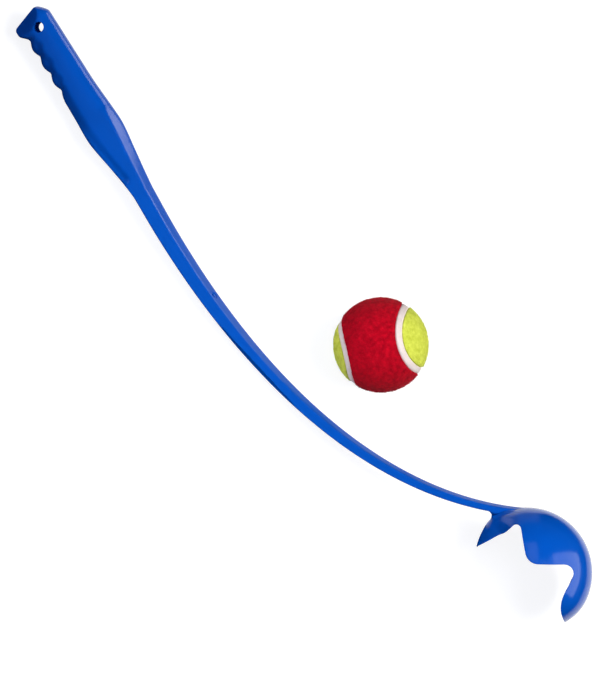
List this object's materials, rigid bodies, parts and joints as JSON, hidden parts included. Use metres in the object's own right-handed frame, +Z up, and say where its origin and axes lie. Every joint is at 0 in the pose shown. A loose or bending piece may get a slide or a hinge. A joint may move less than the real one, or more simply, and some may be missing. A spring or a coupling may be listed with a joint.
{
  "type": "dog ball thrower",
  "caption": "Hand ball thrower for dogs: a curved plastic arm with a finger-grooved handle and a clawed cup, lying beside its felt-covered ball.",
  "frame": {"origin": "middle of the floor space that the thrower and its ball cover, on the floor", "axes": "+X along the thrower from the butt to the cup, +Y from the shaft towards the ball, +Z up from the floor"},
  "size_m": [0.5072, 0.0928, 0.07],
  "materials": {
    "thrower_plastic": "gloss moulded",
    "core_rubber": "matt moulded",
    "felt_red": "napped felt",
    "felt_yellow": "napped felt",
    "seam_rubber": "matt moulded"
  },
  "bodies": {
    "thrower": {"handle": "thrower_plastic", "shaft": "thrower_plastic", "cup": "thrower_plastic"},
    "ball": {"core_half_upper": "core_rubber", "core_half_lower": "core_rubber", "red_felt": "felt_red", "yellow_felt": "felt_yellow", "seam": "seam_rubber"}
  },
  "joints": [
    {"name": "ball_roll", "type": "slide", "parent": "thrower", "child": "ball", "axis": [0, 1, 0], "range_m": [-0.018, 0.15]}
  ]
}
